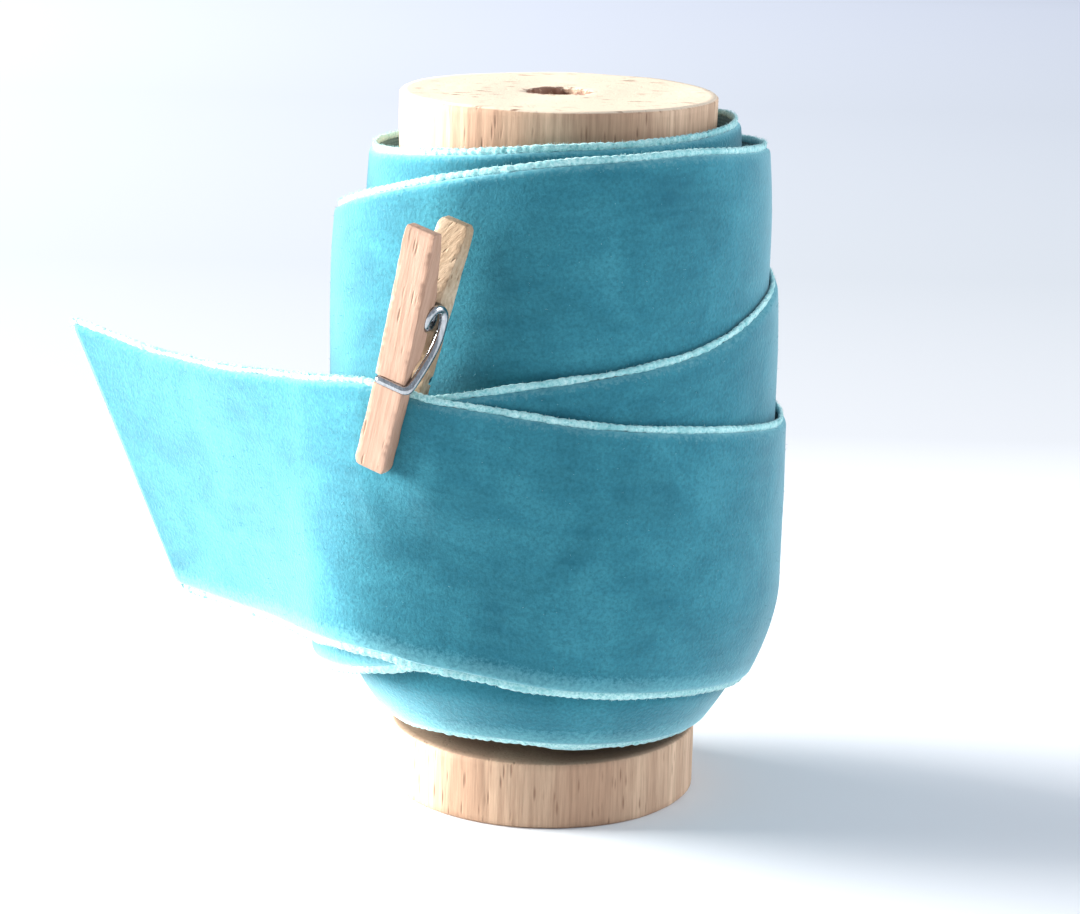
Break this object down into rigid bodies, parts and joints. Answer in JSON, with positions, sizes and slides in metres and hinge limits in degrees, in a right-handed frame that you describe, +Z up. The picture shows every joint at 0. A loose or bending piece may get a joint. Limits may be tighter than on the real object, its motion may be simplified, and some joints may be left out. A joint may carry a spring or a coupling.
{
  "type": "ribbon spool",
  "caption": "Velvet ribbon wound at a slant on a turned wooden spool with a through bore, its free end gripped by a small sprung clothespin.",
  "frame": {"origin": "centre of the bore at the underside of the lower flange, on the surface that the spool stands on", "axes": "+Z up along the spool's bore, -Y towards the front, where the clothespin and the free end are, +X to the right"},
  "size_m": [0.0775, 0.0543, 0.074],
  "materials": {
    "spool_wood": "bare turned beech, fine sanded",
    "velvet": "short-pile velvet with a woven selvedge",
    "clip_wood": "bare sawn beech",
    "spring_steel": "drawn steel wire",
    "paper_tape": "crepe paper tape"
  },
  "bodies": {
    "spool": {"spool": "spool_wood", "start_tape": "paper_tape", "ribbon_winding": "velvet", "ribbon_outer_turns": "velvet", "ribbon_tail": "velvet"},
    "clip_rear": {"clip_rear_leg": "clip_wood", "clip_spring": "spring_steel"},
    "clip_front": {"clip_front_leg": "clip_wood"}
  },
  "joints": [
    {"name": "clip_lift", "type": "slide", "parent": "spool", "child": "clip_rear", "axis": [0.2168, -0.1252, 0.9681], "range_m": [0, 0.045]},
    {"name": "clip_open", "type": "hinge", "parent": "clip_rear", "child": "clip_front", "pos_m": [-0.01285, -0.02445, 0.0555], "axis": [-0.8384, 0.4841, 0.2504], "range_deg": [0, 18], "stiffness_Nm_per_rad": 0.02, "springref_deg": -28.65, "deforming": ["clip_spring"]}
  ]
}
